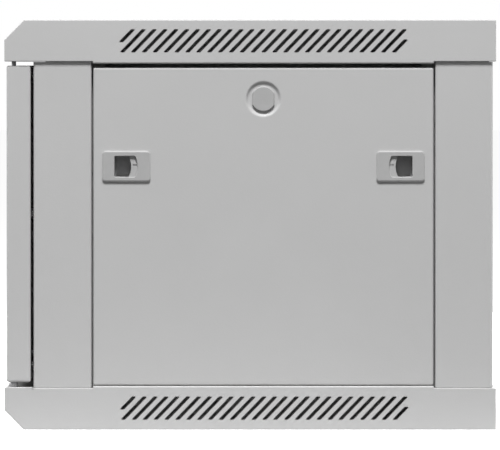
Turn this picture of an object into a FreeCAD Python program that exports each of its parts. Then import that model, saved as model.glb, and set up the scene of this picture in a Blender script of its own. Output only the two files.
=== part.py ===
"""Wall cabinet for telecommunication equipment, 19 inch, six height units, in light grey folded sheet steel.

Millimetres. +Z is up, the door faces -Y, and the origin is the centre of the underside.
Right means +X, which is the right hand of somebody who stands in front of the door.
"""
import FreeCAD
import Part
import math
import os

Vec = FreeCAD.Vector

# Overall size
WIDTH = 600.0
DEPTH = 450.0
HEIGHT = 375.2

# Sheet metal
SHEET = 1.2
PANEL_SHEET = 1.0
RAIL_SHEET = 2.0
BEND = 0.8                       # inner radius of a fold
EDGE = 0.8                       # outer radius of a folded edge on the roof and the base

# Roof and base: two shallow trays, each with a bevelled front and a lip turned in all round
CAP = 38.1
BEVEL = 18.0
CAP_LIP = 38.0                   # width of the turned-in lip along the sides
CAP_REAR_LIP = 25.0
SILL_REAR = -199.0               # y of the front lip's free edge
CAP_TOP = HEIGHT - CAP           # underside of the roof's lip
LIP_CORNER = 6.0                 # inner corner radius of the opening between the lips
RIM_UP, RIM_WIDE, RIM_ROUND = 1.9, 4.5, 1.4  # the doubled edge between the columns: rise, width, radius
SILL_UP = 0.9                    # rise of the base's edge in front of the columns
CORNER_NOTCH = (1.6, 1.4, 6.0)   # width, depth and inward reach of the relief cut before each front column

# Columns and side openings
INSET = 2.5                      # the walls stand this far inside the roof's edge
FACE = WIDTH / 2 - INSET
COLUMN_FRONT = -198.4
COLUMN_REAR = 222.0
OPENING_MIDDLE = 12.05           # y of the middle of the side opening
OPENING_HALF = 157.25
OPENING_FRONT = OPENING_MIDDLE - OPENING_HALF
OPENING_REAR = OPENING_MIDDLE + OPENING_HALF
FRONT_FLANGE = 20.0
REAR_FLANGE = 34.0
FLANGE_LIP = 10.0
REBATE = 14.0                    # how deep the side panel's seat lies behind the column's face
SEAT = 12.0
TAB = 1.2                        # thickness of a column's foot and head plate
COLUMN_CLEAR = 0.35              # a column's walls end this far short, so that its plates bear
FOOT_WIDE = 30.0                 # from the column's face to the inner edge of its foot plate
COLUMN_BOLT_IN = 16.0            # from the column's face to its upright bolts
COLUMN_BOLT_FRONT, COLUMN_BOLT_REAR = COLUMN_FRONT + 24, COLUMN_REAR - 26

# Vent slots
SLOT_PITCH = 9.95
SLOT_COUNT = 27
SLOT_WIDTH = 4.35                # measured level, across the slanting slot
SLOT_LEAN = 0.965                # run towards the rear for each millimetre of rise
BASE_SLOTS = (9.2, 30.5, 12.95)  # heights above the base's underside, and y of the middle slot at half height
ROOF_SLOTS = (8.5, 29.8, 12.1)   # depths below the roof's top, and the same y
SHORT_SLOT = 11.9                # height of the clipped slot at each end of the row
SLOT_CORNER = 0.7

# Side panels
PANEL_GAP = 1.45
PANEL_LOW, PANEL_HIGH = 40.4, 331.5
PANEL_DEPTH = 12.0
PANEL_EDGE = 1.8

# Blanked lock hole in each side panel
BLANK_Z = 302.9
BLANK_RIM, BLANK_FLOOR, BLANK_SINK = 17.0, 12.8, 2.0
BLANK_R, BLANK_FLATS, BLANK_HEAD = 11.4, 20.0, 2.2
BLANK_HOLE_R, BLANK_HOLE_FLATS = 9.5, 16.0
BLANK_WALL = 1.6

# Slide latches
LATCH_Z = 241.0
LATCH_REACH = 125.4              # from the panel's middle to each latch's middle
LATCH_LONG, LATCH_TALL, LATCH_PROUD = 44.0, 28.0, 2.0
LATCH_RISE = 0.3                 # the border's middle above the window's
LATCH_BEVEL, LATCH_BEVEL_OUT = 1.2, 0.45     # the sloping border: width along the panel, and rise
LATCH_CORNER, LATCH_FACE_CORNER = 3.0, 1.8   # corner radii at the foot of the slope and at its top
WINDOW_STRAIGHT, WINDOW_APEX = 10.9, -10.1   # ends of the finger window
WINDOW_HALF = 9.5
WINDOW_ARC = 2.3                 # rise of the window's curved side
WINDOW_CORNER, WINDOW_BEVEL = 1.2, 0.5
LATCH_BODY_TALL = 24.6
LATCH_OUT, LATCH_IN = 19.0, -20.4            # ends of the box behind the panel
LATCH_DEEP = 22.5
LATCH_WALL = 1.5
LATCH_SLIP = 0.25                # play round the sliding pieces
LATCH_CUT = 0.2                  # play of the housing in the panel
LATCH_CUT_CORNER = 0.5
LIP_APEX, LIP_ARC = -4.4, 2.5    # curved edge of the thumb lip
LIP_TOP, LIP_SLOPE = 1.2, 1.0    # the lip's depth under the face at its foot, and the extra at its top
LIP_THICK = 3.0
LIP_RIB = (-9.4, -5.8, 1.9, 3.4) # ends and height of the short rib on the lip
LIP_RIB_UP = 0.6
BOLT_IN, BOLT_END = -18.4, 10.4
BOLT_FLOOR, BOLT_BACK = 12.5, 20.8           # depth of the finger pocket's floor and of the bolt's back
BOLT_WALL, BOLT_STEP = 1.2, 8.0  # the pocket's outer wall: thickness, and how deep its top lies
POCKET_CORNER = 0.8
TONGUE_TALL, TONGUE_THICK, TONGUE_TIP = 12.0, 4.5, 19.6

# Door
DOOR_FRONT, DOOR_REAR = -223.0, -201.0
DOOR_LOW, DOOR_HIGH = 43.6, 333.3
DOOR_SIDE = FACE - 0.4
DOOR_RETURN = 12.0
DOOR_EDGE = 1.8
WINDOW_X = 244.0
WINDOW_LOW, WINDOW_HIGH = 81.6, 295.3
GLASS_LAP = 10.0
GLASS_THICK = 4.0
GASKET_THICK = 1.5
CLIP_X, CLIP_Z, CLIP_WIDE = (-170.0, 0.0, 170.0), (120.6, 256.6), 20.0

# Door hinge
PIN_X, PIN_Y = FACE - 9.0, -216.5
PIN_R = 2.0
RUNNING = 0.06                   # radial clearance of a turning or sliding fit
PIN_TOP = 342.1
LUG_Z = 301.4                    # underside of the guide lug for the sprung pin
COLLAR_Z = 317.1
COLLAR_R, COLLAR_THICK = 4.2, 1.5
SPRING_WIRE, SPRING_R = 0.7, 3.5
SPRING_TURNS = 7
LOW_LUG_Z = 60.6
LOWER_SLEEVE_R, UPPER_SLEEVE_R = 3.4, 3.6    # the bushes' outer radius in the base and in the roof
LOWER_SLEEVE = 4.0               # how far the lower bush reaches down into the base
LOWER_STEPS = ((4.2, 1.5), (3.6, 0.5), (4.4, 1.9))  # steps of the lower bush: radius, height
UPPER_HEAD_R, UPPER_HEAD = 5.8, 1.6          # the upper bush's flange, inside the roof

# Door lock
LOCK_X, LOCK_Z = -266.0, 188.4
LOCK_R = 8.0
LOCK_HEAD_R, LOCK_HEAD = 12.0, 1.9
BARREL_R = 5.5
CAM_NEAR, CAM_THICK, CAM_REACH, CAM_WIDTH = -188.0, 2.4, 28.0, 14.0
CAM_SQUARE = 7.0
CAM_SCREW_R = 2.0
CAM_SCREW_HEAD_R, CAM_SCREW_HEAD = 5.4, 2.4
LOCK_NUT_AF, LOCK_NUT = 20.0, 4.0
LOCK_ROUND = 1.2                 # rounding of the lock's visible rim

# Equipment rails
RACK_HALF = 225.0                # half the clear opening of a 19 inch rack
RACK_HOLE_X = 232.55
RACK_UNIT = 44.45
RACK_UNITS = 6
RACK_HOLES = (6.35, 22.225, 38.1)
RACK_BASE = HEIGHT / 2 - RACK_UNIT * RACK_UNITS / 2
SQUARE = 9.5
RAIL_OUTER = 260.0
RAIL_DEEP = 38.0
RAIL_LOW, RAIL_HIGH = 42.6, 332.6
RAIL_FRONT, RAIL_REAR = -150.0, 130.0
RAIL_BOLT_IN = 22.0              # from a rail's face to its bolts
SUPPORT_LEG = 36.0
SUPPORT_X = RAIL_OUTER           # inner face of a side support's upright leg
SUPPORT_OUT = 295.0              # outer edge of the upper support's level leg
SUPPORT_SLOTS = (-120.0, -62.0, -4.0, 54.0, 112.0)
SUPPORT_SLOT = 42.0
RAIL_SLOTS = (95.6, 141.6, 187.6, 233.6, 279.6)
RAIL_SLOT_WIDE, RAIL_SLOT_HIGH = 7.0, 22.0
PEG_R, PEG_REACH, PEG_Z = 2.95, 120.0, 48.6

# Back panel
BACK_OUTER = COLUMN_REAR - SHEET
BACK_HALF = 290.0
BACK_LOW, BACK_HIGH = CAP + 0.6, CAP_TOP - 0.6
WALL_X, WALL_Z, WALL_R = 200.0, 110.0, 4.5   # wall bolts, from the middle of the panel
BACK_SCREW_IN, BACK_SCREW_END = 17.0, 62.0   # from the cabinet's side face, and from its top and underside
BEAD_LONG, BEAD_WIDE, BEAD_HIGH = 330.0, 11.0, 1.1
BEADS = (165.6, 205.6, 245.6, 285.6)

# Cable entries and their cover plates
ENTRY_X, ENTRY_Y = 150.0, 35.0
ENTRY_MIDDLE = 152.0             # y of the roof's and the base's entry
ENTRY_BACK_Z = 85.6
ENTRY_BACK_HALF = 28.0
COVER_LAP = 11.0
ENTRY_CORNER, COVER_CORNER = 8.0, 4.0
COVER_SCREW_X = ENTRY_X - 30

# Stiffeners spot-welded inside the roof and the base, behind the vent slots and between the foot holes
STIFF_X = 240.0
STIFF_FRONT, STIFF_REAR = -150.0, 162.0
STIFF_DEEP, STIFF_FLANGE = 28.0, 12.0

# Fans and feet
FAN_MIDDLE_R = 4.0
FAN_X, FAN_Y, FAN_PITCH, FAN_HOLE = 115.0, -10.0, 105.0, 2.25
FAN_RINGS = (13.0, 25.0, 37.0, 49.0)
FAN_SLOT = 5.0
FAN_BRIDGE = 7.0
FOOT_X, FOOT_Y, FOOT_R = 235.0, 172.0, 5.25

# Earthing studs
EARTH_X, EARTH_Y = -180.0, -150.0
EARTH_LONG, DOOR_EARTH_LONG = 20.0, 14.0
DOOR_EARTH_X, DOOR_EARTH_Z = -150.0, DOOR_LOW + 13

# Fasteners
SCREW_R, SCREW_HEAD_R, SCREW_HEAD = 2.5, 4.6, 2.4
BOLT_R, BOLT_AF, BOLT_HEAD, NUT_HIGH = 3.0, 10.0, 4.0, 5.0
COLUMN_BOLT_LONG, RAIL_BOLT_LONG = 12.0, 14.0
HOLE_PLAY = 0.3

parts = {}


# General shapes


def box(x0, x1, y0, y1, z0, z1):
    return Part.makeBox(x1 - x0, y1 - y0, z1 - z0, Vec(x0, y0, z0))


def rounded_box(x0, x1, y0, y1, z0, z1, radius):
    solid = box(x0, x1, y0, y1, z0, z1)
    return solid.makeFillet(radius, solid.Edges)


def edges_along(solid, axis):
    """The straight edges of a solid that run along X, Y or Z."""
    found = []
    for edge in solid.Edges:
        run = edge.Vertexes[-1].Point - edge.Vertexes[0].Point
        if run.Length > 1e-6 and abs(run.normalize().dot(axis)) > 0.999:
            found.append(edge)
    return found


def rounded_plate(x0, x1, y0, y1, z0, z1, radius, axis):
    """A plate whose corner edges along `axis` are rounded."""
    solid = box(x0, x1, y0, y1, z0, z1)
    return solid.makeFillet(radius, edges_along(solid, axis))


def rod(radius, start, end):
    run = end - start
    return Part.makeCylinder(radius, run.Length, start, run)


def hexagon(across_flats, start, end):
    """A hexagonal bar from start to end."""
    run = end - start
    corner = across_flats / math.sqrt(3)
    side = Vec(0, 0, 1) if abs(run.z) < 0.5 * run.Length else Vec(1, 0, 0)
    other = Vec(run).normalize().cross(side)
    ring = [start + side * corner * math.cos(math.radians(60 * k))
            + other * corner * math.sin(math.radians(60 * k)) for k in range(7)]
    return Part.Face(Part.makePolygon(ring)).extrude(run)


def prism(points, run):
    """A closed polygon of 3-D points, extruded."""
    return Part.Face(Part.makePolygon(points + [points[0]])).extrude(run)


def folded_sheet(outline, sheet, place, run, bend=BEND):
    """Sheet folded along an outline of (a, b) points on its outer face, with the metal on the left of travel.

    Each fold has the inner radius `bend`. place(a, b) puts a point of the section in space, and run is the
    length.
    """
    points = [Vec(a, b, 0) for a, b in outline]
    ways = [(q - p).normalize() for p, q in zip(points, points[1:])]
    lefts = [Vec(-w.y, w.x, 0) for w in ways]
    half = sheet / 2
    middle = [points[0] + lefts[0] * half]
    for point, before, after in zip(points[1:-1], lefts, lefts[1:]):
        middle.append(point + (before + after) * (half / (1 + before.dot(after))))
    middle.append(points[-1] + lefts[-1] * half)
    radius = bend + half

    def side(offset):
        """The edges of the face that lies `offset` to the left of the sheet's middle."""
        made, last = [], middle[0] + lefts[0] * offset
        for k in range(1, len(middle) - 1):
            turn = 1 if ways[k - 1].cross(ways[k]).z > 0 else -1
            angle = ways[k - 1].getAngle(ways[k])
            reach = radius * math.tan(angle / 2)
            start = middle[k] - ways[k - 1] * reach
            centre = start + lefts[k - 1] * turn * radius
            out = (middle[k] - centre).normalize() * (radius - turn * offset)
            first = start + lefts[k - 1] * offset
            second = middle[k] + ways[k] * reach + lefts[k] * offset
            made.append(("line", last, first))
            made.append(("arc", first, centre + out, second))
            last = second
        made.append(("line", last, middle[-1] + lefts[-1] * offset))
        return made

    def put(p):
        return place(p.x, p.y)

    edges = []
    outer, inner = side(-half), side(half)
    for part in outer:
        edges.append(curve(part, put))
    edges.append(Part.makeLine(put(outer[-1][-1]), put(inner[-1][-1])))
    for part in reversed(inner):
        edges.append(curve((part[0],) + tuple(reversed(part[1:])), put))
    edges.append(Part.makeLine(put(inner[0][1]), put(outer[0][1])))
    return Part.Face(Part.Wire(edges)).extrude(run)


def curve(part, put):
    points = [put(p) for p in part[1:]]
    if part[0] == "line":
        return Part.makeLine(*points)
    return Part.Arc(*points).toShape()


def left_of(solid):
    """The same piece on the other side of the cabinet."""
    return solid.mirror(Vec(0, 0, 0), Vec(1, 0, 0))


def latch_box(way, u0, u1, depth0, depth1, v0, v1):
    """A box in a right-hand latch's own directions, for the front latch (way 1) or the rear one (way -1).

    u runs along the panel towards its nearer upright edge, depth inwards from the panel's face, and v upwards.
    """
    y = OPENING_MIDDLE - way * LATCH_REACH
    ends = sorted((y - way * u0, y - way * u1))
    return box(FACE - depth1, FACE - depth0, ends[0], ends[1], LATCH_Z + v0, LATCH_Z + v1)


def latch_point(way, u, depth, v):
    return Vec(FACE - depth, OPENING_MIDDLE - way * LATCH_REACH - way * u, LATCH_Z + v)


def pan_screw(seat, out, length):
    """A pan-head screw: its head rests at `seat` and points `out`, and its shank goes the other way."""
    out = Vec(out).normalize()
    head = rod(SCREW_HEAD_R, seat, seat + out * SCREW_HEAD)
    rim = [e for e in head.Edges if e.Closed and (e.CenterOfMass - seat).dot(out) > SCREW_HEAD / 2]
    head = head.makeFillet(SCREW_HEAD * 0.6, rim)
    screw = head.fuse(rod(SCREW_R, seat - out * length, seat))
    side = Vec(out.y, out.z, out.x)
    for way, across in ((side, out.cross(side)), (out.cross(side), side)):
        corner = seat + out * (SCREW_HEAD - 1.3) - way * 2.5 - across * 0.5
        slot = prism([corner, corner + way * 5, corner + way * 5 + across, corner + across], out * 3)
        screw = screw.cut(slot)
    return screw


def hex_bolt(seat, out, length):
    out = Vec(out).normalize()
    return hexagon(BOLT_AF, seat, seat + out * BOLT_HEAD).fuse(rod(BOLT_R, seat - out * length, seat))


def hex_nut(seat, out):
    out = Vec(out).normalize()
    bore = rod(BOLT_R, seat - out, seat + out * (NUT_HIGH + 1))
    return hexagon(BOLT_AF, seat, seat + out * NUT_HIGH).cut(bore)


# Roof and base


def cap_block(inset, radius, rise=0.0):
    """The solid block of the base's outer shape, or of its inside when inset by the sheet's thickness."""
    shift = inset * math.tan(math.radians(22.5))
    front, rear = -DEPTH / 2 + inset, DEPTH / 2 - inset
    low, high = inset, CAP - inset + rise
    bevel = BEVEL - inset + shift
    x = -WIDTH / 2 + inset
    side = [Vec(x, front, high), Vec(x, front, low + bevel), Vec(x, front + bevel, low),
            Vec(x, rear, low), Vec(x, rear, high)]
    block = prism(side, Vec(WIDTH - 2 * inset, 0, 0))
    return block.makeFillet(radius, block.Edges) if radius else block


def cap_shell():
    """A bevelled tray with its lips turned in, open in the middle of its upper side.

    Between the columns the lip's edge is doubled, which gives a thicker and rounder rim.
    """
    shell = cap_block(0, EDGE).cut(cap_block(SHEET, 0))
    opening = rounded_plate(-WIDTH / 2 + CAP_LIP, WIDTH / 2 - CAP_LIP, SILL_REAR, DEPTH / 2 - CAP_REAR_LIP,
                            CAP - 5, CAP + 5, LIP_CORNER, Vec(0, 0, 1))
    shell = shell.cut(opening)
    rim = box(WIDTH / 2 - RIM_WIDE, WIDTH / 2, OPENING_FRONT + PANEL_GAP, OPENING_REAR - PANEL_GAP,
              CAP - 2 * EDGE, CAP + RIM_UP)
    outer = [e for e in edges_along(rim, Vec(0, 1, 0))
             if e.CenterOfMass.x > WIDTH / 2 - 1 and e.CenterOfMass.z > CAP]
    rim = rim.makeFillet(RIM_ROUND, outer).cut(cap_block(SHEET, 0))
    return shell.fuse([rim, left_of(rim)]).removeSplitter()


def slot_tools(low, high, middle_y):
    """Cutters for one row of slanting vent slots, through both sides of the cabinet."""
    tools = []
    middle = (low + high) / 2
    for k in range(SLOT_COUNT):
        y = middle_y + (k - (SLOT_COUNT - 1) / 2) * SLOT_PITCH
        bottom = high - SHORT_SLOT if k == 0 else low
        top = low + SHORT_SLOT if k == SLOT_COUNT - 1 else high
        corners = [(y + (z - middle) * SLOT_LEAN + side * SLOT_WIDTH / 2, z)
                   for z, side in ((bottom, -1), (bottom, 1), (top, 1), (top, -1))]
        slot = prism([Vec(-WIDTH / 2 - 5, a, b) for a, b in corners], Vec(WIDTH + 10, 0, 0))
        tools.append(slot.makeFillet(SLOT_CORNER, edges_along(slot, Vec(1, 0, 0))))
    return tools


def entry_tools(face_z):
    """Cutters for the cable entry and its four screw holes in a level plate."""
    y0, y1 = ENTRY_MIDDLE - ENTRY_Y, ENTRY_MIDDLE + ENTRY_Y
    tools = [rounded_plate(-ENTRY_X, ENTRY_X, y0, y1, face_z - 5, face_z + 5, ENTRY_CORNER, Vec(0, 0, 1))]
    for x, y in entry_screws():
        tools.append(rod(SCREW_R + HOLE_PLAY, Vec(x, y, face_z - 5), Vec(x, y, face_z + 5)))
    return tools


def entry_screws():
    reach = COVER_LAP / 2
    return [(sx * COVER_SCREW_X, ENTRY_MIDDLE + sy * (ENTRY_Y + reach)) for sx in (-1, 1) for sy in (-1, 1)]


def fan_tools(x, y):
    """Cutters for one fan guard: rings of arc slots, a middle hole and four screw holes."""
    z0, z1 = HEIGHT - 6, HEIGHT + 6
    bars = [box(x - 70, x + 70, y - FAN_BRIDGE / 2, y + FAN_BRIDGE / 2, z0 - 1, z1 + 1),
            box(x - FAN_BRIDGE / 2, x + FAN_BRIDGE / 2, y - 70, y + 70, z0 - 1, z1 + 1)]
    for bar in bars:
        bar.rotate(Vec(x, y, 0), Vec(0, 0, 1), 45)
    tools = []
    for r in FAN_RINGS:
        ring = rod(r + FAN_SLOT, Vec(x, y, z0), Vec(x, y, z1))
        ring = ring.cut([rod(r, Vec(x, y, z0 - 1), Vec(x, y, z1 + 1))] + bars)
        tools += ring.Solids
    tools.append(rod(FAN_MIDDLE_R, Vec(x, y, z0), Vec(x, y, z1)))
    reach = FAN_PITCH / 2
    tools += [rod(FAN_HOLE, Vec(x + sx * reach, y + sy * reach, z0), Vec(x + sx * reach, y + sy * reach, z1))
              for sx in (-1, 1) for sy in (-1, 1)]
    return tools


def column_bolt_places():
    """(x, y) of the upright bolt at the foot and head of each column."""
    return [(side * (FACE - COLUMN_BOLT_IN), y)
            for side in (-1, 1) for y in (COLUMN_BOLT_FRONT, COLUMN_BOLT_REAR)]


def lip_tools(z):
    """Bolt holes for the columns through a turned-in lip at height z."""
    return [rod(BOLT_R + HOLE_PLAY, Vec(x, y, z - 4), Vec(x, y, z + 4)) for x, y in column_bolt_places()]


def make_base():
    wide, deep, inward = CORNER_NOTCH
    notch_y = COLUMN_FRONT - wide
    sill = cap_block(0, EDGE, SILL_UP).common(
        box(WIDTH / 2 - RIM_WIDE, WIDTH / 2, -DEPTH / 2, notch_y, CAP - 2 * EDGE, CAP + SILL_UP))
    sill = sill.cut(cap_block(SHEET, 0))
    base = cap_shell().fuse([sill, left_of(sill)]).removeSplitter()
    tools = slot_tools(*BASE_SLOTS) + entry_tools(0) + lip_tools(CAP)
    tools += [rod(FOOT_R, Vec(sx * FOOT_X, sy * FOOT_Y, -5), Vec(sx * FOOT_X, sy * FOOT_Y, 5))
              for sx in (-1, 1) for sy in (-1, 1)]
    notch = box(FACE - inward, WIDTH / 2 + 1, notch_y, COLUMN_FRONT, CAP - deep, CAP + 2)
    tools += [notch, left_of(notch)]
    tools.append(rod(LOWER_SLEEVE_R, Vec(PIN_X, PIN_Y, CAP - 4), Vec(PIN_X, PIN_Y, CAP + 4)))
    return base.cut(tools)


def make_roof():
    roof = cap_shell().mirror(Vec(0, 0, HEIGHT / 2), Vec(0, 0, 1))
    shallow, deep, middle_y = ROOF_SLOTS
    tools = slot_tools(HEIGHT - deep, HEIGHT - shallow, middle_y) + entry_tools(HEIGHT) + lip_tools(CAP_TOP)
    tools += fan_tools(FAN_X, FAN_Y) + fan_tools(-FAN_X, FAN_Y)
    tools.append(rod(UPPER_SLEEVE_R, Vec(PIN_X, PIN_Y, CAP_TOP - 4), Vec(PIN_X, PIN_Y, CAP_TOP + 4)))
    return roof.cut(tools)


def make_stiffeners():
    """Channel sections that keep both trays flat: a flange along the sheet, an upright web, another flange."""
    top = HEIGHT - SHEET
    outline = [(STIFF_X - STIFF_FLANGE, top - STIFF_DEEP), (STIFF_X, top - STIFF_DEEP), (STIFF_X, top),
               (STIFF_X - STIFF_FLANGE, top)]
    run = Vec(0, STIFF_REAR - STIFF_FRONT, 0)
    upper = folded_sheet(outline, SHEET, lambda a, b: Vec(a, STIFF_FRONT, b), run)
    lower = upper.mirror(Vec(0, 0, HEIGHT / 2), Vec(0, 0, 1))
    return Part.makeCompound([upper, left_of(upper), lower, left_of(lower)])


parts["base"] = make_base()
parts["roof"] = make_roof()
parts["tray_stiffeners"] = make_stiffeners()


# Cover plates of the three cable entries, and their screws


def level_cover(z0, z1):
    x1, y1 = ENTRY_X + COVER_LAP, ENTRY_Y + COVER_LAP
    cover = rounded_plate(-x1, x1, ENTRY_MIDDLE - y1, ENTRY_MIDDLE + y1, z0, z1, COVER_CORNER, Vec(0, 0, 1))
    return cover.cut([rod(SCREW_R, Vec(x, y, z0 - 1), Vec(x, y, z1 + 1)) for x, y in entry_screws()])


def back_entry_screws():
    reach = ENTRY_BACK_HALF + COVER_LAP / 2
    return [(sx * COVER_SCREW_X, ENTRY_BACK_Z + sz * reach) for sx in (-1, 1) for sz in (-1, 1)]


def make_back_cover():
    y1 = BACK_OUTER - SHEET
    x1, z1 = ENTRY_X + COVER_LAP, ENTRY_BACK_HALF + COVER_LAP
    cover = rounded_plate(-x1, x1, y1 - SHEET, y1, ENTRY_BACK_Z - z1, ENTRY_BACK_Z + z1, COVER_CORNER,
                          Vec(0, 1, 0))
    return cover.cut([rod(SCREW_R + HOLE_PLAY, Vec(x, y1 - SHEET - 1, z), Vec(x, y1 + 1, z))
                      for x, z in back_entry_screws()])


parts["base_cable_cover"] = level_cover(SHEET, 2 * SHEET)
parts["roof_cable_cover"] = level_cover(HEIGHT - 2 * SHEET, HEIGHT - SHEET)
parts["back_cable_cover"] = make_back_cover()


# Columns: folded sections with a foot and a head plate


def column(outline, foot):
    """A folded upright; foot is the (x0, x1, y0, y1) of its foot and head plates."""
    run = Vec(0, 0, CAP_TOP - CAP - 2 * COLUMN_CLEAR)
    body = folded_sheet(outline, SHEET, lambda a, b: Vec(a, b, CAP + COLUMN_CLEAR), run)
    x0, x1, y0, y1 = foot
    plates = [box(x0, x1, y0, y1, CAP, CAP + TAB), box(x0, x1, y0, y1, CAP_TOP - TAB, CAP_TOP)]
    solid = body.fuse(plates)
    return solid.cut([rod(BOLT_R + HOLE_PLAY, Vec(x, y, CAP - 1), Vec(x, y, CAP_TOP + 1))
                      for x, y in column_bolt_places()])


def make_front_column():
    inner = FACE - FRONT_FLANGE
    outline = [(inner, COLUMN_FRONT + FLANGE_LIP), (inner, COLUMN_FRONT), (FACE, COLUMN_FRONT),
               (FACE, OPENING_FRONT), (FACE - REBATE, OPENING_FRONT), (FACE - REBATE, OPENING_FRONT + SEAT)]
    foot = (FACE - FOOT_WIDE, FACE - SHEET, COLUMN_FRONT + FLANGE_LIP + 1, OPENING_FRONT - SHEET)
    return column(outline, foot)


def make_rear_column():
    inner = FACE - REAR_FLANGE
    outline = [(FACE - REBATE, OPENING_REAR - SEAT), (FACE - REBATE, OPENING_REAR), (FACE, OPENING_REAR),
               (FACE, COLUMN_REAR), (inner, COLUMN_REAR)]
    foot = (FACE - FOOT_WIDE, FACE - SHEET, OPENING_REAR + SHEET, BACK_OUTER - SHEET - 1)
    solid = column(outline, foot)
    return solid.cut([rod(SCREW_R, Vec(x, BACK_OUTER - 2, z), Vec(x, COLUMN_REAR + 2, z))
                      for x, z in back_screws() if x > 0])


def back_screws():
    """(x, z) of the screws that hold the back panel to the rear columns."""
    return [(sx * (FACE - BACK_SCREW_IN), z) for sx in (-1, 1)
            for z in (BACK_SCREW_END, HEIGHT / 2, HEIGHT - BACK_SCREW_END)]


parts["front_column_right"] = make_front_column()
parts["front_column_left"] = left_of(parts["front_column_right"])
parts["rear_column_right"] = make_rear_column()
parts["rear_column_left"] = left_of(parts["rear_column_right"])


# Side supports: angle sections that carry the equipment rails above and below the side openings


def support_slots(z):
    """Cutters for the long level slots that let the equipment rails be set forward or back."""
    return [slot_along_y(y, z, SUPPORT_SLOT, BOLT_R + HOLE_PLAY) for y in SUPPORT_SLOTS]


def slot_along_y(y, z, length, radius):
    x0, x1 = SUPPORT_X - 5, SUPPORT_X + 7
    reach = length / 2 - radius
    bar = box(x0, x1, y - reach, y + reach, z - radius, z + radius)
    ends = [rod(radius, Vec(x0, y + s * reach, z), Vec(x1, y + s * reach, z)) for s in (-1, 1)]
    return bar.fuse(ends).removeSplitter()


def support_bolt_z(upper):
    return CAP_TOP - 18.0 if upper else CAP + 18.0


def make_upper_support():
    y0, y1 = OPENING_FRONT + 0.4, OPENING_REAR - 0.4
    outline = [(SUPPORT_OUT, CAP_TOP), (SUPPORT_X, CAP_TOP), (SUPPORT_X, CAP_TOP - SUPPORT_LEG)]
    body = folded_sheet(outline, RAIL_SHEET, lambda a, b: Vec(a, y0, b), Vec(0, y1 - y0, 0))
    # a slit at each end lets the columns' seats through
    seat_x = FACE - REBATE
    slits = [box(seat_x - SHEET - 0.5, seat_x + 0.5, a, b, CAP_TOP - 5, CAP_TOP + 1)
             for a, b in ((y0 - 1, OPENING_FRONT + SEAT + 0.5), (OPENING_REAR - SEAT - 0.5, y1 + 1))]
    return body.cut(support_slots(support_bolt_z(True)) + slits)


def make_lower_support():
    y0, y1 = OPENING_FRONT + 0.4, OPENING_REAR - 0.4
    seat_x = FACE - REBATE
    outline = [(SUPPORT_X, CAP + SUPPORT_LEG), (SUPPORT_X, CAP), (seat_x, CAP), (seat_x, CAP + SEAT + 4)]
    body = folded_sheet(outline, RAIL_SHEET, lambda a, b: Vec(a, y0, b), Vec(0, y1 - y0, 0))
    # the upright seat stops short of the columns' own seats
    body = body.cut([box(seat_x - 6, seat_x + 1, y0 - 1, OPENING_FRONT + SEAT + 1, CAP - 1, CAP + 40),
                     box(seat_x - 6, seat_x + 1, OPENING_REAR - SEAT - 1, y1 + 1, CAP - 1, CAP + 40)])
    pegs = [rod(PEG_R + HOLE_PLAY, Vec(seat_x - 5, y, PEG_Z), Vec(seat_x + 5, y, PEG_Z)) for y in peg_places()]
    return body.cut(support_slots(support_bolt_z(False)) + pegs)


def peg_places():
    return [OPENING_MIDDLE - PEG_REACH, OPENING_MIDDLE + PEG_REACH]


parts["upper_support_right"] = make_upper_support()
parts["upper_support_left"] = left_of(parts["upper_support_right"])
parts["lower_support_right"] = make_lower_support()
parts["lower_support_left"] = left_of(parts["lower_support_right"])


# Equipment rails: two pairs of uprights with square holes at rack spacing


def make_rack_rail(face_y, way):
    """One right-hand rail with its outer face at face_y. way is +1 if it runs back from there, or -1."""
    y_end = face_y + way * RAIL_DEEP
    outline = [(RACK_HALF, face_y), (RAIL_OUTER, face_y), (RAIL_OUTER, y_end), (RAIL_OUTER - 9, y_end)]
    if way < 0:
        outline = list(reversed(outline))
    body = folded_sheet(outline, RAIL_SHEET, lambda a, b: Vec(a, b, RAIL_LOW), Vec(0, 0, RAIL_HIGH - RAIL_LOW))
    half = SQUARE / 2
    tools = []
    for unit in range(RACK_UNITS):
        for hole in RACK_HOLES:
            z = RACK_BASE + unit * RACK_UNIT + hole
            tools.append(box(RACK_HOLE_X - half, RACK_HOLE_X + half, face_y - 4, face_y + 4,
                             z - half, z + half))
    bolt_y = face_y + way * RAIL_BOLT_IN
    for z in (support_bolt_z(False), support_bolt_z(True)):
        tools.append(rod(BOLT_R + HOLE_PLAY, Vec(RAIL_OUTER - 5, bolt_y, z), Vec(RAIL_OUTER + 5, bolt_y, z)))
    for z in RAIL_SLOTS:
        tools.append(box(RAIL_OUTER - 5, RAIL_OUTER + 5,
                         bolt_y - RAIL_SLOT_WIDE / 2, bolt_y + RAIL_SLOT_WIDE / 2,
                         z - RAIL_SLOT_HIGH / 2, z + RAIL_SLOT_HIGH / 2))
    return body.cut(tools)


parts["rack_rail_front_right"] = make_rack_rail(RAIL_FRONT, 1)
parts["rack_rail_front_left"] = left_of(parts["rack_rail_front_right"])
parts["rack_rail_rear_right"] = make_rack_rail(RAIL_REAR, -1)
parts["rack_rail_rear_left"] = left_of(parts["rack_rail_rear_right"])


# Back panel


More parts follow.
